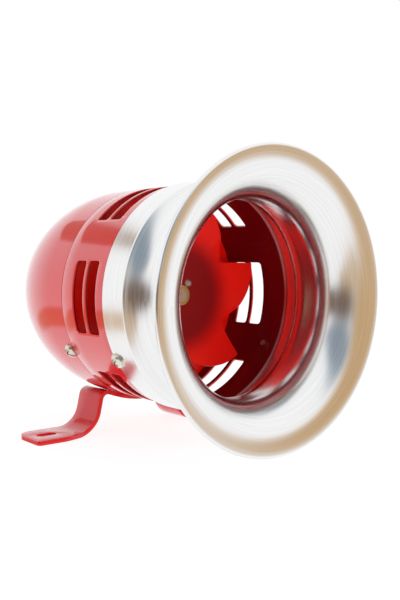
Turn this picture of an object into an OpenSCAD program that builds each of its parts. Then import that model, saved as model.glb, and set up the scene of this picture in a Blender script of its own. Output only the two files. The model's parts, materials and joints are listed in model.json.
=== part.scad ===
// Small motor siren: a flared aluminium horn on a slotted port ring, with a six-blade
// chopper wheel driven by a series motor under a domed cover, on a bent strap foot.
// The horn faces -Y and +Z is up. The origin is midway between the two foot slots,
// on the underside of the feet. All sizes are in millimetres.

/* [Horn] */
// Outer radius of the rolled rim at the mouth
rim_r = 62.5; // [59:0.5:66]
// Distance from the rim to the rear edge of the collar
horn_len = 52.3; // [50:0.1:55]
// Inner radius of the throat
throat_r = 41.5; // [39:0.5:42]
// Thickness of the spun aluminium
horn_t = 0.8; // [0.6:0.1:1]

/* [Body] */
// Outer radius of the port ring and of the cover
body_r = 49.6; // [49.4:0.1:50]
// Height of the siren's axis above the feet
axis_h = 66.6; // [66:0.1:70]
// Distance from the rim to the seam between ring and cover
seam_at = 85.4; // [84:0.1:88]
// Distance from the rim to the middle of the foot
foot_at = 102.5; // [101:0.1:106]
// Wall of the port ring
ring_t = 1.2; // [1:0.1:1.4]
// Wall of the domed cover
cover_t = 1.0; // [0.8:0.1:1.2]

/* [Ports] */
// Number of port pairs round the ring
port_count = 6; // [4:1:8]
// Angle that each port spans
port_span = 36.5; // [24:0.5:40]
// Width of each slot along the axis
port_w = 8.2; // [6:0.1:8.4]
// Distance from the rim to the front edge of the first slot
port_at = 58.8; // [58:0.1:60]
// Pitch of the two slots along the axis
port_pitch = 9.8; // [9.6:0.1:10.2]

/* [Chopper wheel] */
// Distance from the rim to the wheel's flat front face
wheel_at = 64; // [63:0.5:66]
// Thickness of the wheel's sheet
wheel_t = 1.2; // [1:0.1:1.5]
// Reach of a blade's straight leading edge to one side of its middle
blade_lead = 15; // [13:0.5:15.5]
// Radius of a blade's round outer edge
blade_r = 29; // [27:0.5:29.5]
// How far forward a blade's tip is bent
blade_bend = 3; // [1:0.5:4]

/* [Foot] */
// Width of the strap
strap_w = 22.4; // [20:0.2:24]
// Thickness of the strap
strap_t = 1.9; // [1.6:0.1:2.2]
// Distance between the centres of the two slots
slot_spacing = 95.4; // [90:0.2:100]
// Length of a slot from end to end
slot_len = 9.8; // [8:0.2:12]
// Width of a slot
slot_w = 5; // [4.5:0.1:5.5]
// Distance from the centre to the tip of a foot
foot_reach = 57.7; // [56:0.1:60]

/* [Motor] */
// Outer radius of the field stack
field_r = 28; // [27:0.5:29]
// Length of the field stack
field_len = 28; // [24:1:30]
// Radius of the armature core
armature_r = 15; // [14:0.5:15.5]
// Radius of the shaft
shaft_r = 3; // [2.5:0.5:3]

/* [Hidden] */
$fn = 96;

fit = 0.05;              // clearance between sheets that slide together
running_fit = 0.04;      // radial clearance of the shaft in its bushes
eps = 0.01;

// Stations along Y, worked out from distances behind the rim
rim_y = -foot_at;
collar_y = rim_y + horn_len;
seam_y = rim_y + seam_at;
wheel_y = rim_y + wheel_at;
port_y = rim_y + port_at;
dome_y = -5;

// Horn
flare_r = rim_r - 1 - throat_r;
bead_r = 1.1;
neck_y = rim_y + flare_r + 5;
shoulder_r = 14;
shoulder_a = 62;
collar_ri = body_r + fit;
collar_ro = collar_ri + horn_t;

// Port ring and cover
port_corner = 1.6;
ring_front_y = rim_y + 45;
ring_ri = body_r - ring_t;
spigot_len = 7;
step_y = seam_y - 2;     // where the ring steps in to carry the plate and the cover
cover_ri = body_r - cover_t;
dome_side_r = 86;        // radius of the dome's long side arc
dome_end_y = 63.5;

// Fasteners
screw_angles = [210, 330];
horn_screw_y = collar_y - 2;
cover_screw_y = seam_y + 2.9;
screw_r = 1.5;
head_r = 3.1;
head_h = 1.8;
washer_t = 0.5;
bracket_screw_angles = [262, 278];
bracket_screw_y = -4.5;
bracket_screw_r = 1.5;
bracket_head_r = 2.9;

// Motor stations
plate_t = 1.6;
plate_y = step_y - plate_t;
front_face_y = step_y;
field_y = front_face_y + 12.5;
field_end_y = field_y + field_len;
rear_face_y = field_end_y + 17;
bore_r = armature_r + 0.6;
commutator_r = 8;
commutator_y = field_end_y + 5.2;
commutator_len = 7;
winding_len = 4;
brush_y = commutator_y + commutator_len / 2;
brush_w = 3;
brush_len = 8;
holder_r = 3.6;
holder_at = 16.3;        // middle of a brush holder, from the axis
holder_len = 14;
bolt_r = 2;
bolt_at = 23.5;

// ---------------------------------------------------------------- helpers

// Turns a shape made about Z into one about the siren's axis, with Z becoming Y
module on_axis(y = 0) {
    translate([0, y, axis_h]) rotate([-90, 0, 0]) children();
}

// Places a shape made along +X at an angle round the siren's axis
module round_axis(a, y = 0) {
    translate([0, y, axis_h]) rotate([0, -a, 0]) children();
}

// A ring about the siren's axis between two stations
module ring(ro, ri, y0, y1) {
    on_axis(y0) difference() {
        cylinder(r = ro, h = y1 - y0);
        translate([0, 0, -1]) cylinder(r = ri, h = y1 - y0 + 2);
    }
}

// A pan-head screw with a cross recess; its head sits on z = 0
module pan_screw(r, len, head = head_r, height = head_h) {
    difference() {
        union() {
            intersection() {
                cylinder(r = head, h = height);
                translate([0, 0, height - 4.2]) sphere(r = 4.2);
            }
            translate([0, 0, -len]) cylinder(r = r, h = len + eps);
        }
        for (a = [45, 135]) rotate(a)
            translate([-0.35, -head * 0.6, height * 0.45]) cube([0.7, head * 1.2, height]);
    }
}

// A countersunk screw with a cross recess; the flat of its head lies on z = 0
module sunk_screw(r, len, head) {
    difference() {
        union() {
            translate([0, 0, r - head]) cylinder(r1 = r, r2 = head, h = head - r);
            translate([0, 0, -len]) cylinder(r = r, h = len - 0.2);
        }
        for (a = [45, 135]) rotate(a)
            translate([-0.3, -head * 0.55, -0.8]) cube([0.6, head * 1.1, 2]);
    }
}

module washer(ro, ri, t) {
    difference() {
        cylinder(r = ro, h = t);
        translate([0, 0, -1]) cylinder(r = ri, h = t + 2);
    }
}

module hex_nut(r, bore, t) {
    difference() {
        cylinder(r = r, h = t, $fn = 6);
        translate([0, 0, -1]) cylinder(r = bore, h = t + 2);
    }
}

// Points on an arc about c, from angle a0 to a1
function arc(c, r, a0, a1, steps) = [
    for (k = [0 : steps]) let (a = a0 + (a1 - a0) * k / steps) c + r * [cos(a), sin(a)]
];

// Corners of a rectangle from lo to hi, each rounded with short flats
function round_rect(lo, hi, r) = [
    for (c = [[hi[0] - r, lo[1] + r, -90], [hi[0] - r, hi[1] - r, 0],
              [lo[0] + r, hi[1] - r, 90], [lo[0] + r, lo[1] + r, 180]], k = [0 : 5])
        [c[0], c[1]] + r * [cos(c[2] + k * 18), sin(c[2] + k * 18)]
];

// ---------------------------------------------------------------- casing

// Half section of the horn: rolled rim, flare, throat, shoulder and collar
module horn_section() {
    flare_c = [throat_r + flare_r, rim_y + flare_r];
    bead_c = [rim_r - bead_r, rim_y + bead_r];
    shoulder_c = [throat_r + horn_t + shoulder_r, neck_y];
    lip_r = 1.6;
    lip_c = [collar_ro - lip_r, neck_y + 13.4];
    polygon(concat(
        arc(flare_c, flare_r, 180, 270, 24),
        arc(bead_c, bead_r, -90, 150, 10),
        arc(flare_c, flare_r - horn_t, 262, 180, 22),
        arc(shoulder_c, shoulder_r, 180, 180 - shoulder_a, 14),
        arc(lip_c, lip_r, -25, 0, 3),
        [[collar_ro, collar_y], [collar_ri, collar_y]],
        arc(lip_c, lip_r - horn_t, 0, -25, 3),
        arc(shoulder_c, shoulder_r + horn_t, 180 - shoulder_a, 180, 14)
    ));
}

module horn() {
    color("silver") difference() {
        on_axis() rotate_extrude() horn_section();
        for (a = screw_angles) round_axis(a, horn_screw_y)
            rotate([0, 90, 0]) cylinder(r = screw_r + 0.2, h = 2 * body_r);
    }
}

// One port, punched straight in towards the axis at an angle round the ring
module port(a, y0) {
    half_w = body_r * sin(port_span / 2);
    round_axis(a) rotate([90, 0, 90]) translate([0, 0, ring_ri * 0.85]) linear_extrude(20)
        polygon(round_rect([y0, -half_w], [y0 + port_w, half_w], port_corner));
}

module port_ring() {
    step_r = ring_ri - fit;
    color("red") difference() {
        union() {
            ring(body_r, ring_ri, ring_front_y, seam_y);
            ring(step_r, step_r - ring_t, step_y, seam_y + spigot_len);
            ring(ring_ri + eps, step_r - ring_t, step_y, step_y + 1.2);
        }
        for (k = [0 : port_count - 1], n = [0, 1])
            port(k * 360 / port_count, port_y + n * port_pitch);
        for (a = screw_angles) {
            round_axis(a, horn_screw_y) rotate([0, 90, 0]) cylinder(r = screw_r, h = 60);
            round_axis(a, cover_screw_y) rotate([0, 90, 0]) cylinder(r = screw_r, h = 60);
        }
    }
}

// Centres and radii of the cover's long side arc and round nose, which meet at joint_a
side_c = [body_r - dome_side_r, dome_y];
nose_gap = dome_side_r - (dome_end_y - dome_y);
nose_c = [0, dome_y + (side_c[0] * side_c[0] - nose_gap * nose_gap) / (2 * nose_gap)];
nose_r = dome_end_y - nose_c[1];
joint_a = atan2(nose_c[1] - dome_y, -side_c[0]);

// Half section of the cover: a straight skirt, a long side arc and a round nose
module cover_section() {
    polygon(concat(
        [[cover_ri, seam_y], [body_r, seam_y]],
        arc(side_c, dome_side_r, 0, joint_a, 20),
        arc(nose_c, nose_r, joint_a + 4, 90, 16),
        arc(nose_c, nose_r - cover_t, 90, joint_a + 4, 16),
        arc(side_c, dome_side_r - cover_t, joint_a, 0, 20)
    ));
}

module rear_cover() {
    color("red") difference() {
        on_axis() rotate_extrude() cover_section();
        on_axis(dome_end_y - 10) cylinder(r = 5, h = 20);
        for (a = screw_angles) round_axis(a, cover_screw_y)
            rotate([0, 90, 0]) cylinder(r = screw_r + 0.15, h = 60);
        for (a = bracket_screw_angles) round_axis(a, bracket_screw_y)
            rotate([0, 90, 0]) cylinder(r = bracket_screw_r + 0.1, h = 60);
    }
}

// ---------------------------------------------------------------- foot

saddle_r = body_r + 0.05 + strap_t / 2;
saddle_a = 20.3;
top_bend_r = 3.5;
low_bend_r = 12;
splay_a = 12;

// Centre line of one half of the strap, right of the middle
saddle_end = [saddle_r * sin(saddle_a), axis_h - saddle_r * cos(saddle_a)];
top_c = saddle_end + top_bend_r * [sin(saddle_a), -cos(saddle_a)];
leg_top = top_c + top_bend_r * [cos(splay_a), sin(splay_a)];
low_c_z = strap_t / 2 + low_bend_r;
leg_dir = [sin(splay_a), -cos(splay_a)];
leg_len = (leg_top[1] - low_c_z + low_bend_r * sin(splay_a)) / cos(splay_a);
leg_end = leg_top + leg_len * leg_dir;
low_c = leg_end + low_bend_r * [cos(splay_a), sin(splay_a)];

// The strap's section from the front, right half: along its upper face to the end of
// the foot, and back along its lower face
function strap_half_section() = let (h = strap_t / 2) concat(
    arc([0, axis_h], saddle_r - h, 270.7, 270 + saddle_a, 14),
    arc(top_c, top_bend_r + h, 90 + saddle_a - 7, splay_a, 13),
    arc(low_c, low_bend_r - h, 180 + splay_a, 270, 14),
    [[foot_reach, strap_t], [foot_reach, 0]],
    arc(low_c, low_bend_r + h, 270, 180 + splay_a, 14),
    arc(top_c, top_bend_r - h, splay_a, 90 + saddle_a - 7, 13),
    arc([0, axis_h], saddle_r + h, 270 + saddle_a, 270.7, 14)
);
function both_halves(pts) =
    concat(pts, [for (k = [len(pts) - 1 : -1 : 0]) [-pts[k][0], pts[k][1]]]);

// The strap's outline from above, right half: it narrows at the front round the leg,
// and its end has a small front corner and a large rear one.
waist = 4;
front_corner_r = 2;
rear_corner_r = 8;
function ease(t) = t * t * (3 - 2 * t);
function strap_half_plan(hw) = concat(
    [for (k = [0 : 6]) [10 + 1.4 * k, -hw + waist * ease(k / 6)]],
    [for (k = [0 : 8]) [27 + 2.3 * k, -hw + waist * ease(1 - k / 8)]],
    arc([foot_reach - front_corner_r, -hw + front_corner_r], front_corner_r, -90, 0, 4),
    arc([foot_reach - rear_corner_r, hw - rear_corner_r], rear_corner_r, 0, 90, 10),
    [[foot_reach - rear_corner_r, hw + 1]]
);

module foot_bracket() {
    hw = strap_w / 2;
    sink = bracket_head_r - bracket_screw_r;
    color("firebrick") difference() {
        intersection() {
            translate([0, hw, 0]) rotate([90, 0, 0]) linear_extrude(strap_w + 1)
                polygon(both_halves(strap_half_section()));
            translate([0, 0, -1]) linear_extrude(40) polygon(both_halves(strap_half_plan(hw)));
        }
        for (side = [-1, 1]) translate([side * slot_spacing / 2, 0, -1]) foot_slot(strap_t + 2);
        for (a = bracket_screw_angles) round_axis(a, bracket_screw_y) {
            rotate([0, 90, 0]) cylinder(r = bracket_screw_r + 0.1, h = 60);
            translate([saddle_r + strap_t / 2 - sink, 0, 0]) rotate([0, 90, 0])
                cylinder(r1 = bracket_screw_r, r2 = bracket_head_r + 1, h = sink + 1);
        }
    }
}

module foot_slot(h) {
    run = slot_len - slot_w;
    for (x = [-run / 2, run / 2]) translate([x, 0, 0]) cylinder(r = slot_w / 2, h = h);
    translate([-run / 2, -slot_w / 2, 0]) cube([run, slot_w, h]);
}

// ---------------------------------------------------------------- chopper wheel

// Each blade has a straight leading edge and a round outer one, centred beside its
// middle. Beyond a fold it is bent forward, most at its tip.
blade_c = [13.6, 13.9];
blade_root_u = 8;
blade_lead_a = asin((blade_lead - blade_c[1]) / blade_r);
blade_turns = [for (k = [0 : 13]) blade_lead_a - k * (85 + blade_lead_a) / 13];
function tip_t(a) = blade_c[1] + blade_r * sin(a);
function tip_u(a) = blade_c[0] + blade_r * cos(a);
function fold_u(t) = 21.5 + (t + 5.5) * (t > -5.5 ? 0.38 : -0.57);
function bend(u, t) =
    blade_bend * pow(max(0, u - fold_u(t)) / 16, 1.4) * max(0, min(1, (t + 12) / 5));
function blade_point(a, s, back) =
    let (
        t = tip_t(a),
        fold = min(fold_u(t), tip_u(a) - 1),
        u = s < 0 ? blade_root_u : fold + (tip_u(a) - fold) * s
    )
    [u, wheel_y - bend(u, t) + back * wheel_t, t];

module blade() {
    rows = 8;
    cols = len(blade_turns);
    sheet = rows * cols;
    points = [for (back = [0, 1], i = [-1 : rows - 2], a = blade_turns)
        blade_point(a, i / (rows - 2), back)];
    front = [for (i = [0 : rows - 2], j = [0 : cols - 2], half = [0, 1])
        let (a = i * cols + j)
        half == 0 ? [a, a + cols, a + 1] : [a + 1, a + cols, a + cols + 1]];
    rear = [for (f = front) [f[0] + sheet, f[2] + sheet, f[1] + sheet]];
    border = concat(
        [for (j = [0 : cols - 1]) j],
        [for (i = [1 : rows - 1]) i * cols + cols - 1],
        [for (j = [cols - 2 : -1 : 0]) (rows - 1) * cols + j],
        [for (i = [rows - 2 : -1 : 1]) i * cols]
    );
    n = len(border);
    wall = [for (k = [0 : n - 1], half = [0, 1])
        let (a = border[k], b = border[(k + 1) % n])
        half == 0 ? [a, b, a + sheet] : [b, b + sheet, a + sheet]];
    polyhedron(points, concat(front, rear, wall), convexity = 4);
}

module chopper_wheel() {
    color("red") difference() {
        union() {
            on_axis(wheel_y) cylinder(r = 18, h = wheel_t);
            for (k = [0 : 5]) round_axis(k * 60) blade();
        }
        on_axis(wheel_y - 5) cylinder(r = spigot_r, h = 20);
        for (a = rivet_angles) on_axis(wheel_y - 5)
            rotate(-a) translate([rivet_at, 0, 0]) cylinder(r = rivet_r, h = 20);
    }
}

spigot_r = 4.6;
flange_r = 11;
flange_t = 2;
boss_r = 5;
boss_len = 9;
rivet_at = 6.9;
rivet_r = 1.1;
rivet_angles = [50, 230];
hub_y = wheel_y + wheel_t;

module wheel_hub() {
    color("goldenrod") difference() {
        union() {
            on_axis(wheel_y - 1) cylinder(r = spigot_r, h = wheel_t + 2);
            on_axis(hub_y) cylinder(r = flange_r, h = flange_t);
            on_axis(hub_y) cylinder(r = boss_r, h = flange_t + boss_len);
        }
        on_axis(wheel_y - 5) cylinder(r = shaft_r, h = 30);
        for (a = rivet_angles) on_axis(hub_y - 5)
            rotate(-a) translate([rivet_at, 0, 0]) cylinder(r = rivet_r, h = 20);
        round_axis(90, hub_y + flange_t + 5) rotate([0, 90, 0]) cylinder(r = 1.5, h = 20);
    }
}

module hub_rivets() {
    color("gray") for (a = rivet_angles) round_axis(a) translate([rivet_at, 0, 0]) {
        translate([0, wheel_y - 1, 0]) rotate([-90, 0, 0])
            cylinder(r = rivet_r, h = wheel_t + flange_t + 2);
        translate([0, wheel_y, 0]) rotate([90, 0, 0]) intersection() {
            cylinder(r = 1.9, h = 1.1);
            translate([0, 0, -1.1]) sphere(r = 2.2);
        }
        translate([0, hub_y + flange_t, 0]) rotate([-90, 0, 0]) cylinder(r = 1.8, h = 0.8);
    }
}

module hub_set_screw() {
    color("dimgray") round_axis(90, hub_y + flange_t + 5)
        translate([shaft_r, 0, 0]) rotate([0, 90, 0]) difference() {
            cylinder(r = 1.5, h = 2.4);
            translate([0, 0, 1.2]) cylinder(r = 0.8, h = 3, $fn = 6);
        }
}

// ---------------------------------------------------------------- rotor

module motor_shaft() {
    color("lightgray") on_axis(wheel_y - 1.4) cylinder(r = shaft_r, h = rear_face_y - wheel_y + 1);
}

module armature_core() {
    slots = 12;
    color("gray") on_axis(field_y) linear_extrude(field_len) difference() {
        circle(r = armature_r);
        circle(r = shaft_r);
        for (k = [0 : slots - 1]) rotate(k * 360 / slots) {
            translate([armature_r - 4, 0]) circle(r = 1.5);
            translate([armature_r - 4, -0.7]) square([8, 1.4]);
        }
    }
}

module armature_windings() {
    color("peru") {
        for (y = [field_y - winding_len, field_end_y]) on_axis(y) difference() {
            intersection() {
                cylinder(r = armature_r - 1, h = winding_len);
                translate([0, 0, winding_len / 2]) sphere(r = armature_r - 0.4);
            }
            translate([0, 0, -1]) cylinder(r = shaft_r, h = winding_len + 2);
        }
    }
}

module commutator() {
    bars = 12;
    color("darkgoldenrod") on_axis(commutator_y) linear_extrude(commutator_len) difference() {
        circle(r = commutator_r);
        circle(r = shaft_r);
        for (k = [0 : bars - 1]) rotate(k * 360 / bars)
            translate([commutator_r - 0.8, -0.3]) square([3, 0.6]);
    }
}

module thrust_washers() {
    front_y = field_y - winding_len;
    rear_y = commutator_y + commutator_len;
    color("tan") {
        ring(5, shaft_r, front_y - 1.8, front_y - eps);
        ring(5, shaft_r, rear_y + eps, rear_y + 0.7);
    }
}

// ---------------------------------------------------------------- stator

// Outline of one field lamination: a round yoke with two inward poles
module lamination() {
    difference() {
        union() {
            difference() {
                circle(r = field_r);
                circle(r = field_r - 4.5);
            }
            for (side = [0, 180]) rotate(side) translate([-6, bore_r - 1]) square([12, 10]);
            intersection() {
                circle(r = bore_r + 2.2);
                for (side = [0, 180]) rotate(side)
                    polygon([[0, 0], [-20, 24], [20, 24]]);
            }
            for (a = [0, 180]) rotate(a) translate([bolt_at, 0]) circle(r = 4);
        }
        circle(r = bore_r);
        for (a = [0, 180]) rotate(a) translate([bolt_at, 0]) circle(r = bolt_r + fit);
    }
}

module field_stack() {
    color("slategray") on_axis(field_y) linear_extrude(field_len) lamination();
}

// A coil wound round each pole, proud of the stack at both ends
module field_coils() {
    proud = 4;
    color("peru") for (side = [0, 180]) on_axis() rotate(side) difference() {
        intersection() {
            translate([-11.5, bore_r + 2.6, field_y - proud])
                cube([23, 4.6, field_len + 2 * proud]);
            translate([0, 0, field_y - proud]) cylinder(r = field_r - 4.8, h = field_len + 2 * proud);
        }
        translate([-6.3, 0, field_y - 0.3]) cube([12.6, 40, field_len + 0.6]);
    }
}

// A cast end bracket: a bush boss, two arms and two bolt pads
module end_bracket(face_y, stack_y, boss_len) {
    lo = min(face_y, stack_y);
    depth = abs(stack_y - face_y);
    arm_y = face_y < stack_y ? face_y : face_y - 3;
    boss_y = face_y < stack_y ? face_y : face_y - boss_len;
    difference() {
        union() {
            on_axis(arm_y) linear_extrude(3) {
                circle(r = 9);
                translate([-bolt_at, -5]) square([2 * bolt_at, 10]);
                for (a = [0, 180]) rotate(a) translate([bolt_at, 0]) circle(r = 5);
            }
            on_axis(boss_y) cylinder(r = 6.5, h = boss_len);
            for (side = [-1, 1]) on_axis(lo) translate([side * bolt_at, 0, 0])
                cylinder(r = 4.2, h = depth);
        }
        on_axis(lo - 1) cylinder(r = 5, h = depth + 2);
        for (side = [-1, 1]) on_axis(lo - 1) translate([side * bolt_at, 0, 0])
            cylinder(r = bolt_r + fit, h = depth + 2);
    }
}

module front_bracket() {
    color("darkgray") difference() {
        end_bracket(front_face_y, field_y, 5.5);
        for (a = plate_screw_angles) on_axis(front_face_y - 1)
            rotate(-a) translate([plate_screw_at, 0, 0]) cylinder(r = 1.25, h = 3);
    }
}

module rear_bracket() {
    clamp_y = brush_y - holder_r - 0.5;
    color("darkgray") difference() {
        union() {
            end_bracket(rear_face_y, field_end_y, 4);
            on_axis(rear_face_y - 3) linear_extrude(3)
                square([9, 2 * holder_at + 7], center = true);
            for (side = [-1, 1]) translate([-4.5, clamp_y, axis_h + side * holder_at - 3.5])
                cube([9, rear_face_y - 3 - clamp_y + eps, 7]);
        }
        translate([0, brush_y, 0]) cylinder(r = holder_r, h = 2 * axis_h);
        on_axis(rear_face_y - 5) cylinder(r = 5, h = 10);
    }
}

plate_screw_at = 7.6;
plate_screw_angles = [90, 270];

module front_bush() {
    color("darkgoldenrod") ring(5, shaft_r + running_fit, plate_y - 2, front_face_y + 5.5);
}

module rear_bush() {
    color("darkgoldenrod") ring(5, shaft_r + running_fit, rear_face_y - 4, rear_face_y);
}

// ---------------------------------------------------------------- brush gear

// Places a shape made along +Z above and below the commutator
module at_brushes() {
    for (side = [0, 180]) translate([0, brush_y, axis_h]) rotate([0, side, 0]) children();
}

module brush_holders() {
    color("saddlebrown") at_brushes() translate([0, 0, holder_at]) difference() {
        cylinder(r = holder_r, h = holder_len, center = true);
        cube([brush_w + 2 * fit, brush_w + 2 * fit, holder_len + 6], center = true);
    }
}

module brushes() {
    color("dimgray") at_brushes() translate([-brush_w / 2, -brush_w / 2, commutator_r + 0.1])
        cube([brush_w, brush_w, brush_len]);
}

// Each spring is a stack of coils between the brush and its cap
module brush_springs() {
    turns = 6;
    pitch = 1.1;
    start = commutator_r + brush_len + 0.2;
    color("silver") at_brushes() for (k = [0 : turns - 1])
        translate([0, 0, start + (k + 0.5) * pitch]) rotate_extrude()
            translate([1.05, 0]) circle(r = 0.28);
}

module brush_caps() {
    color("black") at_brushes() translate([0, 0, holder_at + holder_len / 2])
        cylinder(r = holder_r, h = 2);
}

// ---------------------------------------------------------------- motor fixings

module motor_plate() {
    color("red") difference() {
        on_axis(plate_y) cylinder(r = ring_ri - 0.1, h = plate_t);
        on_axis(plate_y - 1) cylinder(r = 5, h = 5);
        for (side = [-1, 1]) on_axis(plate_y - 1) translate([side * bolt_at, 0, 0])
            cylinder(r = bolt_r + fit, h = 5);
        for (a = plate_screw_angles) on_axis(plate_y - 1)
            rotate(-a) translate([plate_screw_at, 0, 0]) cylinder(r = 1.3, h = 5);
    }
}

module motor_bolts() {
    color("silver") for (side = [-1, 1])
        translate([side * bolt_at, plate_y, axis_h]) rotate([90, 0, 0])
            pan_screw(bolt_r, rear_face_y - plate_y + 4, 3.8, 2.2);
}

module motor_nuts() {
    color("silver") for (side = [-1, 1])
        translate([side * bolt_at, rear_face_y, axis_h]) rotate([-90, 0, 0])
            hex_nut(4, bolt_r, 3);
}

module plate_screws() {
    color("silver") for (a = plate_screw_angles) round_axis(a, plate_y)
        translate([plate_screw_at, 0, 0]) rotate([90, 0, 0]) pan_screw(1.2, 3.5, 2.2, 1.4);
}

// ---------------------------------------------------------------- wiring

terminal_z = axis_h + field_r;
lead_r = 0.9;

module terminal_block() {
    color("ivory") difference() {
        translate([-9, field_y + 6, terminal_z - 0.6]) cube([18, 12, 8.6]);
        on_axis(field_y + 5) cylinder(r = field_r, h = 14);
        for (x = [-4.5, 4.5]) {
            translate([x, field_y + 12, terminal_z + 3]) cylinder(r = 2, h = 10);
            translate([x, field_y, terminal_z + 4]) rotate([-90, 0, 0]) cylinder(r = 1.4, h = 30);
        }
    }
}

module terminal_screws() {
    color("silver") for (x = [-4.5, 4.5]) translate([x, field_y + 12, terminal_z + 3.2])
        difference() {
            cylinder(r = 1.7, h = 3.4);
            translate([-2, -0.3, 2.4]) cube([4, 0.6, 2]);
        }
}

// A round wire with straight runs through a list of points
module wire(points, r) {
    for (i = [0 : len(points) - 2]) hull()
        for (p = [points[i], points[i + 1]]) translate(p) sphere(r = r, $fn = 10);
}

module motor_leads() {
    start_y = field_y + 18;
    start_z = terminal_z + 4;
    cap_z = holder_at + holder_len / 2 + 2;
    color("white") {
        wire([
            [-4.5, start_y - 1, start_z],
            [-4.5, start_y + 5, start_z],
            [-1, brush_y, axis_h + cap_z + 0.9]
        ], lead_r);
        wire([
            [4.5, start_y - 1, start_z],
            [4.5, start_y + 6, start_z],
            [22, start_y + 14, axis_h + 25],
            [31, start_y + 17, axis_h],
            [20, start_y + 18, axis_h - 28],
            [1, brush_y, axis_h - cap_z - 0.9]
        ], lead_r);
    }
}

module cable_grommet() {
    bore = 3.2;
    color("black") on_axis() difference() {
        union() {
            translate([0, 0, dome_end_y - 4]) cylinder(r = 7, h = 2.4);
            translate([0, 0, dome_end_y - 4]) cylinder(r = 5, h = 5);
            translate([0, 0, dome_end_y]) cylinder(r = 7, h = 2.5);
        }
        translate([0, 0, dome_end_y - 10]) cylinder(r = bore, h = 30);
    }
}

// ---------------------------------------------------------------- outer fasteners

module horn_screws() {
    color("silver") for (a = screw_angles) round_axis(a, horn_screw_y)
        translate([collar_ro + washer_t, 0, 0]) rotate([0, 90, 0]) pan_screw(screw_r, 5);
}

module cover_screws() {
    color("silver") for (a = screw_angles) round_axis(a, cover_screw_y)
        translate([body_r + washer_t, 0, 0]) rotate([0, 90, 0]) pan_screw(screw_r, 5);
}

module screw_washers() {
    color("gainsboro") for (a = screw_angles) {
        round_axis(a, horn_screw_y) translate([collar_ro, 0, 0]) rotate([0, 90, 0])
            washer(3.4, screw_r, washer_t);
        round_axis(a, cover_screw_y) translate([body_r, 0, 0]) rotate([0, 90, 0])
            washer(3.4, screw_r, washer_t);
    }
}

module bracket_screws() {
    color("silver") for (a = bracket_screw_angles) round_axis(a, bracket_screw_y)
        translate([saddle_r + strap_t / 2, 0, 0]) rotate([0, 90, 0])
            sunk_screw(bracket_screw_r, 7.5, bracket_head_r);
}

module bracket_nuts() {
    nut_t = 2.4;
    color("silver") for (a = bracket_screw_angles) round_axis(a, bracket_screw_y)
        translate([cover_ri - 0.4 - nut_t, 0, 0]) rotate([0, 90, 0])
            hex_nut(3.1, bracket_screw_r, nut_t);
}

// ---------------------------------------------------------------- assembly

horn();
port_ring();
rear_cover();
foot_bracket();
motor_plate();
cable_grommet();
chopper_wheel();
wheel_hub();
hub_rivets();
hub_set_screw();
motor_shaft();
armature_core();
armature_windings();
commutator();
thrust_washers();
field_stack();
field_coils();
front_bracket();
rear_bracket();
front_bush();
rear_bush();
brush_holders();
brushes();
brush_springs();
brush_caps();
motor_bolts();
motor_nuts();
plate_screws();
terminal_block();
terminal_screws();
motor_leads();
horn_screws();
cover_screws();
screw_washers();
bracket_screws();
bracket_nuts();
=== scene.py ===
import json
import math

import bmesh
import bpy
from mathutils import Matrix, Vector


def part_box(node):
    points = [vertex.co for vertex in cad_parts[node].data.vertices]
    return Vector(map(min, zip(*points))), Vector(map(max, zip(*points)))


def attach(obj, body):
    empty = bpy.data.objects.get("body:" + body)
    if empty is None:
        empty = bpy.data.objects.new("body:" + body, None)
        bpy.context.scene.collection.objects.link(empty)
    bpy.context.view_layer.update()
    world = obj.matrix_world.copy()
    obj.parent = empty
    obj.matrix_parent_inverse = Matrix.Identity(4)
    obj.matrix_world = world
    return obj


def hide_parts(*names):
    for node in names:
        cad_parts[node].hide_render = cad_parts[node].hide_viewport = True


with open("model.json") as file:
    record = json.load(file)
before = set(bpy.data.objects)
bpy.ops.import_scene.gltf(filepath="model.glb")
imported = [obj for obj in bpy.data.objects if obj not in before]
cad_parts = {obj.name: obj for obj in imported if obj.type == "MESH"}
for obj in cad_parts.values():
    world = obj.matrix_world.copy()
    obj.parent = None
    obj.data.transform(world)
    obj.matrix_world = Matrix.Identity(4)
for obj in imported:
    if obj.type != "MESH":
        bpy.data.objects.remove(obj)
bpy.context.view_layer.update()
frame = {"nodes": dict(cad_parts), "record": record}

MM = 0.001
nodes = frame["nodes"]

# ---------------------------------------------------------------- sizes, in millimetres

HORN_LO, HORN_HI = (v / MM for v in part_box("horn"))
RING_LO, RING_HI = (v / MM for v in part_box("port_ring"))
COVER_LO, COVER_HI = (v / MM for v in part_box("rear_cover"))
FOOT_LO, FOOT_HI = (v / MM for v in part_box("foot_bracket"))

AXIS_Z = (HORN_LO.z + HORN_HI.z) / 2
RIM_R = (HORN_HI.z - HORN_LO.z) / 2
RIM_Y = HORN_LO.y
COLLAR_Y = HORN_HI.y
THROAT_R = 41.5
HORN_T = 0.8
BEAD_R = 1.1

BODY_R = 49.6
RING_FRONT_Y = RING_LO.y
SPIGOT_END_Y = RING_HI.y
SEAM_Y = COVER_LO.y
SEAM_GAP = 0.3
SHEET_T = 1.2
COVER_T = 1.0
PORT_COUNT = 6
PORT_SPAN = 36.5
PORT_W = 8.2
PORT_Y = RIM_Y + 58.8
PORT_PITCH = 9.8
PORT_CORNER = 1.6

DOME_Y = -5.0
DOME_SIDE_R = 86.0
DOME_END_Y = COVER_HI.y
INLET_R = 5.0

WHEEL_Y = RIM_Y + 64
WHEEL_T = 1.2
WHEEL_HOLE_R = 4.6
BLADES = 6
BLADE_LEAD = 15.0
BLADE_R = 29.0
BLADE_C = (13.6, 13.9)
BLADE_BEND = 3.0

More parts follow.
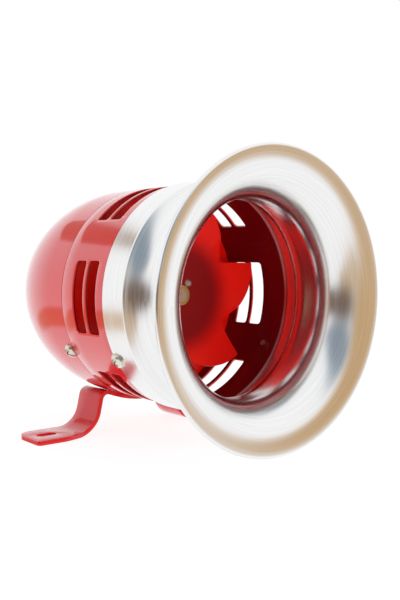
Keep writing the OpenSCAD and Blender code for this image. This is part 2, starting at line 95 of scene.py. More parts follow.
STRAP_W = FOOT_HI.y - FOOT_LO.y
STRAP_T = 1.9
FOOT_REACH = FOOT_HI.x
SADDLE_A = math.radians(20.3)
TOP_BEND_R = 3.5
SPLAY = math.radians(12)
LOW_BEND_R = 12.0
WAIST = 4.0
FRONT_CORNER_R = 2.0
REAR_CORNER_R = 8.0
FOOT_SCREW_A = math.radians(8)
FOOT_SCREW_Y = -4.5
FOOT_SCREW_HOLE_R = 2.95
SLOT_INSET = 10.0
SLOT_LEN = 9.8
SLOT_W = 5.0


# ---------------------------------------------------------------- camera and light

def make_camera():
    """The camera at the photograph's viewing angle."""
    data = bpy.data.cameras.new("camera")
    data.lens = 46.53
    data.sensor_width = 36
    data.clip_start = 0.01
    data.clip_end = 20
    cam = bpy.data.objects.new("camera", data)
    bpy.context.scene.collection.objects.link(cam)
    back = Vector((-0.649, -0.759, 0.054)).normalized()
    right = Vector((0.028, 0.047, 0.9985)).cross(back).normalized()
    up = back.cross(right)
    turn = Matrix((right, up, back)).transposed()
    cam.matrix_world = Matrix.Translation((-0.2239, -0.3141, 0.08365)) @ turn.to_4x4()
    bpy.context.scene.camera = cam


def math_node(tree, operation, a, b=None, clamp=False):
    """A Math node whose inputs are numbers or other nodes' outputs."""
    node = tree.nodes.new("ShaderNodeMath")
    node.operation = operation
    node.use_clamp = clamp
    for socket, value in zip(node.inputs, (a, b)):
        if value is None:
            continue
        if isinstance(value, (int, float)):
            socket.default_value = value
        else:
            tree.links.new(value, socket)
    return node.outputs[0]


def mix_colour(tree, factor, a, b):
    """A colour mix whose inputs are colours or other nodes' outputs."""
    node = tree.nodes.new("ShaderNodeMix")
    node.data_type = "RGBA"
    for socket, value in ((node.inputs[0], factor), (node.inputs[6], a), (node.inputs[7], b)):
        if isinstance(value, (int, float)):
            socket.default_value = value
        elif isinstance(value, tuple):
            socket.default_value = (*value, 1)
        else:
            tree.links.new(value, socket)
    return node.outputs[2]


# What the studio looks like in a reflection: colour, heading and height of the middle,
# and half widths, all in degrees. Heading 0 is straight out of the horn, 90 to its right.
STUDIO = [
    ((0.56, 0.37, 0.19), 17, 3, 43, 23),
    ((0.62, 0.46, 0.31), -28, -16, 34, 12),
    ((0.24, 0.30, 0.36), -36, 31, 48, 19),
    ((0.15, 0.095, 0.065), -64, 1, 52, 15),
    ((0.66, 0.47, 0.32), -150, -15, 30, 6),
    ((0.42, 0.32, 0.26), -165, 30, 32, 4),
]


def make_world():
    """A bright white studio whose reflections have a few soft tan and grey-blue parts."""
    world = bpy.data.worlds.new("studio")
    world.use_nodes = True
    bpy.context.scene.world = world
    tree = world.node_tree
    tree.nodes.clear()
    where = tree.nodes.new("ShaderNodeTexCoord").outputs["Generated"]
    split = tree.nodes.new("ShaderNodeSeparateXYZ")
    tree.links.new(where, split.inputs[0])
    x, y, z = split.outputs
    heading = math_node(tree, "ARCTAN2", x, math_node(tree, "MULTIPLY", y, -1.0))
    height = math_node(tree, "ARCSINE", z)
    colour = (0.97, 0.98, 1.0)
    for tint, at_heading, at_height, half_heading, half_height in STUDIO:
        across = math_node(tree, "SUBTRACT", heading, math.radians(at_heading))
        across = math_node(tree, "DIVIDE", across, math.radians(half_heading))
        upward = math_node(tree, "SUBTRACT", height, math.radians(at_height))
        upward = math_node(tree, "DIVIDE", upward, math.radians(half_height))
        square = math_node(tree, "ADD", math_node(tree, "POWER", math_node(tree, "ABSOLUTE", across), 2.0),
                           math_node(tree, "POWER", math_node(tree, "ABSOLUTE", upward), 2.0))
        fade = tree.nodes.new("ShaderNodeMapRange")
        fade.interpolation_type = "SMOOTHSTEP"
        fade.inputs["From Min"].default_value = 1.25
        fade.inputs["From Max"].default_value = 0.35
        tree.links.new(square, fade.inputs["Value"])
        colour = mix_colour(tree, fade.outputs[0], colour, tint)
    lit = tree.nodes.new("ShaderNodeBackground")
    lit.inputs["Strength"].default_value = 1.05
    tree.links.new(colour, lit.inputs["Color"])
    plain = tree.nodes.new("ShaderNodeBackground")
    plain.inputs["Color"].default_value = (1, 1, 1, 1)
    plain.inputs["Strength"].default_value = 1.0
    seen = tree.nodes.new("ShaderNodeLightPath")
    choose = tree.nodes.new("ShaderNodeMixShader")
    tree.links.new(seen.outputs["Is Camera Ray"], choose.inputs[0])
    tree.links.new(lit.outputs[0], choose.inputs[1])
    tree.links.new(plain.outputs[0], choose.inputs[2])
    out = tree.nodes.new("ShaderNodeOutputWorld")
    tree.links.new(choose.outputs[0], out.inputs[0])
    bpy.context.scene.view_settings.view_transform = "Standard"


def make_floor():
    """A large pale floor under the feet."""
    half = 4.0
    mesh = bpy.data.meshes.new("floor")
    mesh.from_pydata([(-half, -half, 0), (half, -half, 0), (half, half, 0), (-half, half, 0)], [], [(0, 1, 2, 3)])
    floor = bpy.data.objects.new("floor", mesh)
    bpy.context.scene.collection.objects.link(floor)
    mat = bpy.data.materials.new("floor_white")
    mat.use_nodes = True
    shader = mat.node_tree.nodes["Principled BSDF"]
    shader.inputs["Base Color"].default_value = (0.18, 0.18, 0.18, 1)
    shader.inputs["Roughness"].default_value = 0.9
    shader.inputs["Specular IOR Level"].default_value = 0.0
    shader.inputs["Emission Color"].default_value = (1, 1, 1, 1)
    shader.inputs["Emission Strength"].default_value = 0.88
    mesh.materials.append(mat)
    floor.visible_glossy = False


def make_light():
    """A soft light low in front, which reaches the wheel through the horn's mouth."""
    data = bpy.data.lights.new("mouth_light", "AREA")
    data.energy = 0.7
    data.size = 0.12
    light = bpy.data.objects.new("mouth_light", data)
    bpy.context.scene.collection.objects.link(light)
    place = Vector((-0.12, -0.42, 0.03))
    aim = Vector((0, WHEEL_Y, AXIS_Z)) * MM - place
    light.location = place
    light.rotation_euler = aim.to_track_quat("-Z", "Y").to_euler()
    light.visible_glossy = False
    light.visible_camera = False


# ---------------------------------------------------------------- materials

def principled(name):
    """A new material with its node tree and shader."""
    mat = bpy.data.materials.new(name)
    mat.use_nodes = True
    return mat, mat.node_tree, mat.node_tree.nodes["Principled BSDF"]


def stretched_place(tree, stretch):
    """Object coordinates, stretched along the three axes."""
    mapping = tree.nodes.new("ShaderNodeMapping")
    mapping.inputs["Scale"].default_value = stretch
    tree.links.new(tree.nodes.new("ShaderNodeTexCoord").outputs["Object"], mapping.inputs[0])
    return mapping.outputs[0]


def around_axis(tree):
    """Radius from the siren's axis, angle round it and place along it."""
    split = tree.nodes.new("ShaderNodeSeparateXYZ")
    tree.links.new(tree.nodes.new("ShaderNodeTexCoord").outputs["Object"], split.inputs[0])
    x, y, z = split.outputs
    rise = math_node(tree, "SUBTRACT", z, AXIS_Z * MM)
    square = math_node(tree, "ADD", math_node(tree, "MULTIPLY", x, x), math_node(tree, "MULTIPLY", rise, rise))
    return math_node(tree, "SQRT", square), math_node(tree, "ARCTAN2", rise, x), y


def turned_place(tree, along, around):
    """Coordinates that are nearly the same all the way round the siren's axis."""
    radius, angle, y = around_axis(tree)
    join = tree.nodes.new("ShaderNodeCombineXYZ")
    tree.links.new(math_node(tree, "MULTIPLY", radius, along), join.inputs[0])
    tree.links.new(math_node(tree, "MULTIPLY", y, along), join.inputs[1])
    tree.links.new(math_node(tree, "MULTIPLY", angle, around), join.inputs[2])
    return join.outputs[0]


def paint_shade_inside(mat, colour, full_shade_r, no_shade_r):
    """Paints shade: takes a finish to a darker colour with less coat near the axis, in front of the seam."""
    tree = mat.node_tree
    radius, angle, y = around_axis(tree)
    outward = tree.nodes.new("ShaderNodeMapRange")
    outward.interpolation_type = "SMOOTHSTEP"
    outward.inputs["From Min"].default_value = full_shade_r * MM
    outward.inputs["From Max"].default_value = no_shade_r * MM
    tree.links.new(radius, outward.inputs["Value"])
    behind = math_node(tree, "GREATER_THAN", y, SEAM_Y * MM)
    unshaded = math_node(tree, "MAXIMUM", outward.outputs[0], behind)
    shader = tree.nodes["Principled BSDF"]
    base = shader.inputs["Base Color"]
    tree.links.new(mix_colour(tree, unshaded, colour, base.links[0].from_socket), base)
    coat = shader.inputs["Coat Weight"]
    tree.links.new(math_node(tree, "MULTIPLY", unshaded, coat.default_value), coat)
    return mat


def noise(tree, place, scale, detail=3.0):
    """A noise from 0 to 1 at a place."""
    node = tree.nodes.new("ShaderNodeTexNoise")
    node.inputs["Scale"].default_value = scale
    node.inputs["Detail"].default_value = detail
    tree.links.new(place, node.inputs["Vector"])
    return node.outputs["Fac"]


def spread(tree, value, low, high, lo_in=0.3, hi_in=0.7):
    """Takes a noise to the range low to high."""
    node = tree.nodes.new("ShaderNodeMapRange")
    node.inputs["From Min"].default_value = lo_in
    node.inputs["From Max"].default_value = hi_in
    node.inputs["To Min"].default_value = low
    node.inputs["To Max"].default_value = high
    tree.links.new(value, node.inputs["Value"])
    return node.outputs[0]


def bump(tree, shader, height, depth, strength):
    """Adds a bump of a depth in millimetres, on top of any bump already there."""
    node = tree.nodes.new("ShaderNodeBump")
    node.inputs["Distance"].default_value = depth * MM
    node.inputs["Strength"].default_value = strength
    tree.links.new(height, node.inputs["Height"])
    socket = shader.inputs["Normal"]
    if socket.links:
        tree.links.new(socket.links[0].from_socket, node.inputs["Normal"])
    tree.links.new(node.outputs[0], socket)


def plain_material(name, dark, light, metallic, rough, grain, depth, coat=0.0, stretch=(1, 1, 1)):
    """A finish with colour and roughness that vary a little, and a fine grain."""
    mat, tree, shader = principled(name)
    place = stretched_place(tree, stretch)
    cloud = noise(tree, place, 60.0)
    fine = noise(tree, place, grain)
    tree.links.new(mix_colour(tree, spread(tree, cloud, 0.0, 1.0), dark, light), shader.inputs["Base Color"])
    tree.links.new(spread(tree, fine, rough[0], rough[1]), shader.inputs["Roughness"])
    shader.inputs["Metallic"].default_value = metallic
    shader.inputs["Coat Weight"].default_value = coat
    shader.inputs["Coat Roughness"].default_value = 0.04
    bump(tree, shader, fine, depth, 0.6)
    return mat


def enamel(name, dark, light, rough, coat, coat_ior):
    """Baked enamel: deep colour, clear gloss and a trace of orange peel."""
    mat, tree, shader = principled(name)
    place = stretched_place(tree, (1, 1, 1))
    cloud = noise(tree, place, 40.0)
    peel = noise(tree, place, 420.0, 2.0)
    speck = noise(tree, place, 2600.0, 1.0)
    tone = math_node(tree, "ADD", math_node(tree, "MULTIPLY", spread(tree, cloud, 0.0, 1.0), 0.75),
                     math_node(tree, "MULTIPLY", spread(tree, speck, 0.0, 1.0), 0.25))
    tree.links.new(mix_colour(tree, tone, dark, light), shader.inputs["Base Color"])
    tree.links.new(spread(tree, peel, rough[0], rough[1]), shader.inputs["Roughness"])
    shader.inputs["Coat Weight"].default_value = coat
    shader.inputs["Coat IOR"].default_value = coat_ior
    shader.inputs["Coat Roughness"].default_value = 0.05
    shader.inputs["Specular IOR Level"].default_value = 0.25
    bump(tree, shader, peel, 0.02, 0.35)
    return mat


def spun_aluminium():
    """Bright aluminium with fine rings left by spinning and polishing."""
    mat, tree, shader = principled("spun_aluminium")
    rings = noise(tree, turned_place(tree, 1.0, 0.0006), 2400.0, 4.0)
    broad = noise(tree, turned_place(tree, 1.0, 0.002), 260.0, 2.0)
    cloud = noise(tree, stretched_place(tree, (1, 1, 1)), 35.0)
    tone = mix_colour(tree, spread(tree, rings, 0.0, 1.0), (0.82, 0.815, 0.805), (0.93, 0.925, 0.915))
    tone = mix_colour(tree, spread(tree, cloud, 0.0, 0.25), tone, (0.90, 0.88, 0.85))
    tree.links.new(tone, shader.inputs["Base Color"])
    rough = math_node(tree, "ADD", spread(tree, rings, 0.17, 0.22), spread(tree, broad, 0.0, 0.04))
    tree.links.new(rough, shader.inputs["Roughness"])
    shader.inputs["Metallic"].default_value = 1.0
    shader.inputs["Anisotropic"].default_value = 0.5
    tangent = tree.nodes.new("ShaderNodeTangent")
    tangent.direction_type = "RADIAL"
    tangent.axis = "Y"
    tree.links.new(tangent.outputs[0], shader.inputs["Tangent"])
    bump(tree, shader, rings, 0.003, 0.4)
    bump(tree, shader, broad, 0.012, 0.25)
    return mat


def banded(name, dark, light, metallic, rough, axis_stretch, pitch, depth):
    """Fine parallel layers or turns, such as laminations or windings."""
    mat, tree, shader = principled(name)
    place = stretched_place(tree, axis_stretch)
    wave = tree.nodes.new("ShaderNodeTexWave")
    wave.wave_type = "BANDS"
    wave.bands_direction = "Y"
    wave.inputs["Scale"].default_value = math.tau / (20 * pitch * MM)
    wave.inputs["Distortion"].default_value = 0.6
    wave.inputs["Detail"].default_value = 1.0
    tree.links.new(place, wave.inputs["Vector"])
    cloud = noise(tree, place, 90.0)
    tone = math_node(tree, "MULTIPLY", wave.outputs["Fac"], spread(tree, cloud, 0.7, 1.0))
    tree.links.new(mix_colour(tree, tone, dark, light), shader.inputs["Base Color"])
    tree.links.new(spread(tree, cloud, rough[0], rough[1]), shader.inputs["Roughness"])
    shader.inputs["Metallic"].default_value = metallic
    bump(tree, shader, wave.outputs["Fac"], depth, 0.8)
    return mat


def make_materials():
    """One material for each slot in the record."""
    return {
        "spun_aluminium": spun_aluminium(),
        # painted shade: the ring's inside, in front of the seam, is painted dark red for the shade inside the body
        "red_enamel": paint_shade_inside(
            enamel("red_enamel", (0.66, 0.004, 0.009), (0.74, 0.007, 0.012), (0.14, 0.20), 1.0, 1.7),
            (0.15, 0.001, 0.003), BODY_R - 0.9, BODY_R - 0.4),
        "red_strap_enamel": enamel("red_strap_enamel", (0.62, 0.003, 0.010), (0.70, 0.006, 0.014), (0.16, 0.24),
                                   0.5, 1.5),
        # painted shade: the wheel's middle is painted dark red for the shade on its disc, and only the blades'
        # outer parts keep the bright red
        "red_wheel_enamel": paint_shade_inside(
            enamel("red_wheel_enamel", (0.84, 0.004, 0.001), (0.92, 0.008, 0.002), (0.4, 0.5), 0.05, 1.5),
            (0.25, 0.001, 0.003), 18.0, 32.0),
        "black_rubber": plain_material("black_rubber", (0.018, 0.018, 0.018), (0.035, 0.034, 0.033), 0.0,
                                       (0.6, 0.8), 900.0, 0.05),
        "brass": plain_material("brass", (0.62, 0.42, 0.17), (0.78, 0.58, 0.28), 1.0, (0.25, 0.4), 700.0, 0.01,
                                stretch=(1, 8, 1)),
        "zinc_steel": plain_material("zinc_steel", (0.5, 0.51, 0.52), (0.66, 0.66, 0.64), 1.0, (0.3, 0.45),
                                     600.0, 0.01),
        "nickel_screw": plain_material("nickel_screw", (0.66, 0.61, 0.52), (0.84, 0.80, 0.72), 1.0,
                                       (0.14, 0.28), 900.0, 0.008),
        "black_steel": plain_material("black_steel", (0.03, 0.03, 0.032), (0.07, 0.07, 0.07), 1.0, (0.35, 0.5),
                                      700.0, 0.01),
        "ground_steel": plain_material("ground_steel", (0.6, 0.6, 0.6), (0.72, 0.72, 0.72), 1.0, (0.18, 0.3),
                                       900.0, 0.006, stretch=(1, 12, 1)),
        "core_steel": banded("core_steel", (0.10, 0.105, 0.115), (0.34, 0.35, 0.37), 1.0, (0.35, 0.5), (1, 1, 1),
                             0.5, 0.05),
        "copper_wire": banded("copper_wire", (0.22, 0.07, 0.02), (0.68, 0.30, 0.12), 0.9, (0.25, 0.4), (1, 1, 0.4),
                              0.6, 0.15),
        "copper": plain_material("copper", (0.60, 0.27, 0.15), (0.80, 0.45, 0.30), 1.0, (0.22, 0.35), 800.0, 0.01,
                                 stretch=(1, 12, 1)),
        "phenolic": plain_material("phenolic", (0.06, 0.022, 0.012), (0.13, 0.05, 0.025), 0.0, (0.35, 0.5), 500.0,
                                   0.02),
        "cast_aluminium": plain_material("cast_aluminium", (0.45, 0.46, 0.47), (0.6, 0.6, 0.6), 1.0, (0.45, 0.6),
                                         900.0, 0.06),
        "bronze": plain_material("bronze", (0.38, 0.23, 0.10), (0.56, 0.38, 0.2), 1.0, (0.35, 0.5), 1200.0, 0.03),
        "carbon": plain_material("carbon", (0.015, 0.015, 0.016), (0.04, 0.04, 0.042), 0.2, (0.4, 0.6), 1500.0,
                                 0.03),
        "ivory_plastic": plain_material("ivory_plastic", (0.72, 0.66, 0.5), (0.82, 0.78, 0.64), 0.0, (0.3, 0.4),
                                        400.0, 0.02),
        "white_insulation": plain_material("white_insulation", (0.78, 0.78, 0.75), (0.88, 0.88, 0.86), 0.0,
                                           (0.35, 0.45), 500.0, 0.03),
    }


# ---------------------------------------------------------------- mesh helpers

def axis_point(radius, angle, y):
    """A point round the siren's axis, in metres."""
    return Vector((radius * math.cos(angle), y, AXIS_Z + radius * math.sin(angle))) * MM


def arc(cx, cy, radius, a0, a1, steps):
    """Points along an arc, in degrees."""
    turns = [math.radians(a0 + (a1 - a0) * k / steps) for k in range(steps + 1)]
    return [(cx + radius * math.cos(a), cy + radius * math.sin(a)) for a in turns]


def add_lathe(bm, profile, steps=256):
    """Turns a closed outline of (radius, y) points about the siren's axis."""
    rows = []
    for radius, y in profile:
        rows.append([bm.verts.new(axis_point(radius, math.tau * k / steps, y)) for k in range(steps)])
    for i, row in enumerate(rows):
        after = rows[(i + 1) % len(rows)]
        for k in range(steps):
            j = (k + 1) % steps
            bm.faces.new((row[k], row[j], after[j], after[k]))


def finish_mesh(name, bm, body, slot_name, *replaced):
    """Makes a smooth-shaded piece of a bmesh and sets what it stands for."""
    mesh = bpy.data.meshes.new(name)
    bm.to_mesh(mesh)
    bm.free()
    mesh.polygons.foreach_set("use_smooth", [True] * len(mesh.polygons))
    mesh.set_sharp_from_angle(angle=math.radians(32))
    piece = bpy.data.objects.new(name, mesh)
    bpy.context.scene.collection.objects.link(piece)
    mesh.materials.append(MATERIALS[slot_name])
    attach(piece, body)
    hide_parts(*replaced)
    return piece


def apply_modifiers(piece):
    """Replaces the piece's mesh with the one its modifiers make."""
    graph = bpy.context.evaluated_depsgraph_get()
    made = bpy.data.meshes.new_from_object(piece.evaluated_get(graph))
    piece.modifiers.clear()
    piece.data = made
    made.polygons.foreach_set("use_smooth", [True] * len(made.polygons))
    made.set_sharp_from_angle(angle=math.radians(32))


def thicken(piece, thickness, offset, edge):
    """Gives a sheet its thickness and softens its edges."""
    solid = piece.modifiers.new("thickness", "SOLIDIFY")
    solid.thickness = thickness * MM
    solid.offset = offset
    solid.use_even_offset = True
    soft = piece.modifiers.new("edge", "BEVEL")
    soft.width = edge * MM
    soft.segments = 2
    soft.limit_method = "ANGLE"
    soft.angle_limit = math.radians(50)
    apply_modifiers(piece)


def add_loop(bm, points):
    """A closed loop of edges through flat points."""
    verts = [bm.verts.new((x, y, 0)) for x, y in points]
    return [bm.edges.new((verts[i], verts[(i + 1) % len(verts)])) for i in range(len(verts))]


def cut_along(bm, point, normal):
    """Cuts a flat mesh along a line."""
    geometry = bm.verts[:] + bm.edges[:] + bm.faces[:]
    bmesh.ops.bisect_plane(bm, geom=geometry, plane_co=(*point, 0), plane_no=(*normal, 0), dist=1e-4)


def flat_sheet(outline, holes):
    """A flat mesh with holes."""
    bm = bmesh.new()
    edges = add_loop(bm, outline)
    for hole in holes:
        edges += add_loop(bm, hole)
    bmesh.ops.triangle_fill(bm, use_beauty=True, use_dissolve=False, edges=edges)
    return bm


def rounded_rectangle(x0, y0, x1, y1, radius, steps=6):
    """An outline with round corners."""
    points = []
    for cx, cy, start in ((x1 - radius, y0 + radius, -90), (x1 - radius, y1 - radius, 0),
                          (x0 + radius, y1 - radius, 90), (x0 + radius, y0 + radius, 180)):
        points += arc(cx, cy, radius, start, start + 90, steps)
    return points


def face_away(bm, point_in):
    """Turns every face so that it looks away from the point that point_in gives for it."""
    flipped = [f for f in bm.faces if f.normal.dot(f.calc_center_median() - point_in(f)) < 0]
    bmesh.ops.reverse_faces(bm, faces=flipped)


# ---------------------------------------------------------------- casing

def make_horn():
    """Rolled rim, flare, throat, shoulder and collar in one spun sheet."""
    flare_r = RIM_R - 1 - THROAT_R
    flare = (THROAT_R + flare_r, RIM_Y + flare_r)
    bead = (RIM_R - BEAD_R, RIM_Y + BEAD_R)
    neck_y = RIM_Y + flare_r + 5
    shoulder_r = 14.0
    shoulder = (THROAT_R + HORN_T + shoulder_r, neck_y)
    collar_ri = BODY_R + 0.05
    collar_ro = collar_ri + HORN_T
    lip_r = 1.6
    lip = (collar_ro - lip_r, neck_y + 13.4)
    lead = 62
    outline = arc(*flare, flare_r, 180, 270, 72)
    outline += arc(*bead, BEAD_R, -90, 150, 20)[1:]
    outline += arc(*flare, flare_r - HORN_T, 262, 180, 64)
    outline += arc(*shoulder, shoulder_r, 180, 180 - lead, 40)
    outline += arc(*lip, lip_r, -25, 0, 6)
    outline += [(collar_ro, COLLAR_Y - 0.15), (collar_ro - 0.15, COLLAR_Y), (collar_ri, COLLAR_Y)]
    outline += arc(*lip, lip_r - HORN_T, 0, -25, 6)
    outline += arc(*shoulder, shoulder_r + HORN_T, 180 - lead, 180, 40)
    bm = bmesh.new()
    add_lathe(bm, outline, 360)
    bmesh.ops.recalc_face_normals(bm, faces=bm.faces)
    return finish_mesh("horn_shell", bm, "casing", "spun_aluminium", "horn")


def make_cover():
    """The domed cover: straight skirt, long side arc and round nose."""
    side = (BODY_R - DOME_SIDE_R, DOME_Y)
    gap = DOME_SIDE_R - (DOME_END_Y - DOME_Y)
    nose = (0, DOME_Y + (side[0] ** 2 - gap ** 2) / (2 * gap))
    nose_r = DOME_END_Y - nose[1]
    joint = math.degrees(math.atan2(nose[1] - DOME_Y, -side[0]))
    end = math.degrees(math.acos(INLET_R / nose_r))
    inner_end = math.degrees(math.acos(INLET_R / (nose_r - COVER_T)))
    edge_y = SEAM_Y + SEAM_GAP / 2
    outline = [(BODY_R - COVER_T, edge_y), (BODY_R - 0.1, edge_y), (BODY_R, edge_y + 0.1)]
    outline += arc(*side, DOME_SIDE_R, 0, joint, 60)
    outline += arc(*nose, nose_r, joint + 2, end, 30)
    outline += arc(*nose, nose_r - COVER_T, inner_end, joint + 2, 30)
    outline += arc(*side, DOME_SIDE_R - COVER_T, joint, 0, 60)
    bm = bmesh.new()
    add_lathe(bm, outline, 256)
    bmesh.ops.recalc_face_normals(bm, faces=bm.faces)
    return finish_mesh("cover_shell", bm, "casing", "red_enamel", "rear_cover")


def make_ring():
    """The ring with its punched ports, and the stepped spigot behind it."""
    around = math.tau * BODY_R
    start = math.pi / PORT_COUNT
    half = math.radians(PORT_SPAN / 2) * BODY_R
    holes = []
    for k in range(PORT_COUNT):
        middle = around * (k + 0.5) / PORT_COUNT
        for n in range(2):
            y0 = PORT_Y + n * PORT_PITCH
            holes.append(rounded_rectangle(middle - half, y0, middle + half, y0 + PORT_W, PORT_CORNER))
    edge_y = SEAM_Y - SEAM_GAP / 2
    bm = flat_sheet([(0, RING_FRONT_Y), (around, RING_FRONT_Y), (around, edge_y), (0, edge_y)], holes)
    cuts = 180
    for k in range(1, cuts):
        cut_along(bm, (around * k / cuts, 0), (1, 0))
    for v in bm.verts:
        v.co = axis_point(BODY_R, start + v.co.x / BODY_R, v.co.y)
    bmesh.ops.remove_doubles(bm, verts=bm.verts, dist=1e-6)
    bm.normal_update()
    face_away(bm, lambda f: Vector((0, f.calc_center_median().y, AXIS_Z * MM)))
    ring = finish_mesh("ring_shell", bm, "casing", "red_enamel", "port_ring")
    thicken(ring, SHEET_T, -1, 0.12)
    inner_r = BODY_R - SHEET_T
    step_r = inner_r - 0.05
    step_y = SEAM_Y - 2
    outline = [(inner_r, step_y), (step_r - SHEET_T, step_y), (step_r - SHEET_T, SPIGOT_END_Y),
               (step_r, SPIGOT_END_Y), (step_r, step_y + SHEET_T), (inner_r, step_y + SHEET_T)]
    bm = bmesh.new()
    bm.from_mesh(ring.data)
    add_lathe(bm, outline, 180)
    bmesh.ops.recalc_face_normals(bm, faces=bm.faces)
    bm.to_mesh(ring.data)
    bm.free()
    ring.data.polygons.foreach_set("use_smooth", [True] * len(ring.data.polygons))
    ring.data.set_sharp_from_angle(angle=math.radians(32))
    return ring


# ---------------------------------------------------------------- foot

def strap_line():
    """The middle line of the right half of the strap: pieces (length, function of distance)."""
    saddle_r = BODY_R + 0.05 + STRAP_T / 2
    saddle_a, splay = SADDLE_A, SPLAY
    top_r, low_r = TOP_BEND_R, LOW_BEND_R
    end = (saddle_r * math.sin(saddle_a), AXIS_Z - saddle_r * math.cos(saddle_a))
    top = (end[0] + top_r * math.sin(saddle_a), end[1] - top_r * math.cos(saddle_a))
    leg = (top[0] + top_r * math.cos(splay), top[1] + top_r * math.sin(splay))
    low_z = STRAP_T / 2 + low_r
    leg_len = (leg[1] - low_z + low_r * math.sin(splay)) / math.cos(splay)
    foot = (leg[0] + leg_len * math.sin(splay), leg[1] - leg_len * math.cos(splay))
    low = (foot[0] + low_r * math.cos(splay), low_z)
    top_turn = math.pi / 2 + saddle_a - splay
    low_turn = math.pi / 2 - splay

    def saddle_at(s):
        a = s / saddle_r
        return (saddle_r * math.sin(a), AXIS_Z - saddle_r * math.cos(a)), (math.sin(a), -math.cos(a))

    def top_at(s):
        a = math.pi / 2 + saddle_a - s / top_r
        out = (math.cos(a), math.sin(a))
        return (top[0] + top_r * out[0], top[1] + top_r * out[1]), (-out[0], -out[1])

    def leg_at(s):
        point = (leg[0] + s * math.sin(splay), leg[1] - s * math.cos(splay))
        return point, (-math.cos(splay), -math.sin(splay))

    def low_at(s):
        a = math.pi + splay + s / low_r
        out = (math.cos(a), math.sin(a))
        return (low[0] + low_r * out[0], low[1] + low_r * out[1]), out

    def flat_at(s):
        return (low[0] + s, STRAP_T / 2), (0, -1)

    return [(saddle_r * saddle_a, saddle_at), (top_r * top_turn, top_at), (leg_len, leg_at),
            (low_r * low_turn, low_at), (FOOT_REACH - low[0], flat_at)]


def strap_point(pieces, s):
    """The point of the middle line at a distance from the middle of the strap."""
    side = 1 if s >= 0 else -1
    left = abs(s)
    for i, (length, at) in enumerate(pieces):
        if left <= length or i == len(pieces) - 1:
            (x, z), under = at(left)
            return Vector((side * x, 0, z)), Vector((side * under[0], 0, under[1]))
        left -= length


def distance_at(pieces, x):
    """How far along the middle line the strap reaches x, by halving."""
    low, high = 0.0, sum(length for length, at in pieces)
    for k in range(40):
        middle = (low + high) / 2
        if strap_point(pieces, middle)[0].x < x:
            low = middle
        else:
            high = middle
    return low


def ease(t):
    """Goes smoothly from 0 to 1."""
    return t * t * (3 - 2 * t)


def half_plan():
    """The right half of the strap's outline from above, from its front to its rear edge."""
    hw = STRAP_W / 2
    points = [(10 + 8.4 * k / 12, -hw + WAIST * ease(k / 12)) for k in range(13)]
    points += [(27 + 18.4 * k / 16, -hw + WAIST * ease(1 - k / 16)) for k in range(17)]
    points += arc(FOOT_REACH - FRONT_CORNER_R, -hw + FRONT_CORNER_R, FRONT_CORNER_R, -90, 0, 8)
    points += arc(FOOT_REACH - REAR_CORNER_R, hw - REAR_CORNER_R, REAR_CORNER_R, 0, 90, 20)
    return points


def make_foot():
    """The bent strap: saddle, two splayed legs and two slotted feet."""
    pieces = strap_line()
    reach = sum(length for length, at in pieces)
    flat_from = reach - pieces[-1][0]
    half = []
    for x, y in half_plan():
        along = x - FOOT_REACH + reach if x > FOOT_REACH - pieces[-1][0] else distance_at(pieces, x)
        half.append((along, y))
    outline = half + [(-x, y) for x, y in reversed(half)]
    screw_s = (BODY_R + 0.05 + STRAP_T / 2) * FOOT_SCREW_A
    holes = []
    for side in (-1, 1):
        middle = side * (reach - SLOT_INSET)
        holes.append(rounded_rectangle(middle - SLOT_LEN / 2, -SLOT_W / 2, middle + SLOT_LEN / 2, SLOT_W / 2,
                                       SLOT_W / 2 - 0.001, 10))
        holes.append(arc(side * screw_s, FOOT_SCREW_Y, FOOT_SCREW_HOLE_R, 0, 345, 23))
    bm = flat_sheet(outline, holes)
    step = 0.45
    count = int(flat_from / step)
    for k in range(-count, count + 1):
        cut_along(bm, (k * flat_from / count, 0), (1, 0))
    under = {}
    for v in bm.verts:
        point, away = strap_point(pieces, v.co.x)
        under[v.index] = away
        v.co = Vector((point.x, v.co.y, point.z)) * MM
    bm.normal_update()
    bm.verts.index_update()
    turned = []
    for f in bm.faces:
        middle = sum((under[v.index] for v in f.verts), Vector())
        if f.normal.dot(middle) < 0:
            turned.append(f)
    bmesh.ops.reverse_faces(bm, faces=turned)
    foot = finish_mesh("foot_strap", bm, "casing", "red_strap_enamel", "foot_bracket")
    thicken(foot, STRAP_T, 0, 0.4)
    return foot


# ---------------------------------------------------------------- chopper wheel

def fold_u(t):
    """Where along a blade its fold lies, by the distance to one side of the blade's middle."""
    return 21.5 + (t + 5.5) * (0.38 if t > -5.5 else -0.57)


def bend(u, t):
    """How far forward a point of a blade lies of the wheel's flat front face."""
    if t < -12 or t > BLADE_LEAD + 0.1:
        return 0.0
    return BLADE_BEND * max(0.0, (u - fold_u(t)) / 16) ** 1.4 * min(1.0, (t + 12) / 5)


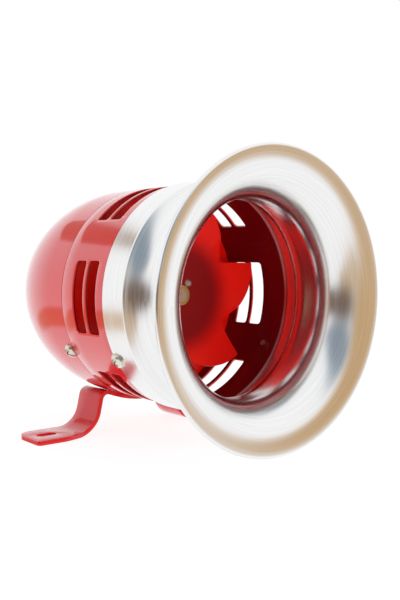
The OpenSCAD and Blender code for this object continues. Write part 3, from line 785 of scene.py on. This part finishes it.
def local(x, z, k):
    """A wheel point in blade k's own frame: along the blade, and across it."""
    a = k * math.tau / BLADES
    return x * math.cos(a) + z * math.sin(a), z * math.cos(a) - x * math.sin(a)


def spun(u, t, k):
    """The opposite of local."""
    a = k * math.tau / BLADES
    return u * math.cos(a) - t * math.sin(a), u * math.sin(a) + t * math.cos(a)


def make_wheel():
    """Six blades in one pressed sheet, each folded a little forward."""
    tip_a = math.degrees(math.asin((BLADE_LEAD - BLADE_C[1]) / BLADE_R))
    before = spun(*BLADE_C, 1)
    notch = (before[0] + math.sqrt(BLADE_R ** 2 - (BLADE_LEAD - before[1]) ** 2), BLADE_LEAD)
    start = local(*notch, 1)
    start_a = math.degrees(math.atan2(start[1] - BLADE_C[1], start[0] - BLADE_C[0]))
    outline = []
    for k in range(BLADES):
        outline += [spun(u, t, k) for u, t in arc(*BLADE_C, BLADE_R, start_a, tip_a, 36)]
    hole = arc(0, 0, WHEEL_HOLE_R, 0, 352.5, 47)
    bm = flat_sheet(outline, [hole])
    for n in range(-32, 33):
        cut_along(bm, (1.5 * n, 0), (1, 0))
        cut_along(bm, (0, 1.5 * n), (0, 1))
    for v in bm.verts:
        forward = max(bend(*local(v.co.x, v.co.y, k)) for k in range(BLADES))
        v.co = Vector((v.co.x, WHEEL_Y - forward, AXIS_Z + v.co.y)) * MM
    bm.normal_update()
    bmesh.ops.reverse_faces(bm, faces=[f for f in bm.faces if f.normal.y > 0])
    wheel = finish_mesh("wheel_sheet", bm, "rotor", "red_wheel_enamel", "chopper_wheel")
    thicken(wheel, WHEEL_T, -1, 0.18)
    return wheel


# ---------------------------------------------------------------- the other CAD nodes

def finish_cad_nodes():
    """Gives every CAD node its slot's material."""
    slots = {part["node"]: part["material_slot"] for part in frame["record"]["subparts"]}
    for name, node in nodes.items():
        node.data.materials.clear()
        node.data.materials.append(MATERIALS[slots[name]])


make_camera()
make_world()
make_floor()
make_light()
MATERIALS = make_materials()
finish_cad_nodes()
make_horn()
make_cover()
make_ring()
make_foot()
make_wheel()
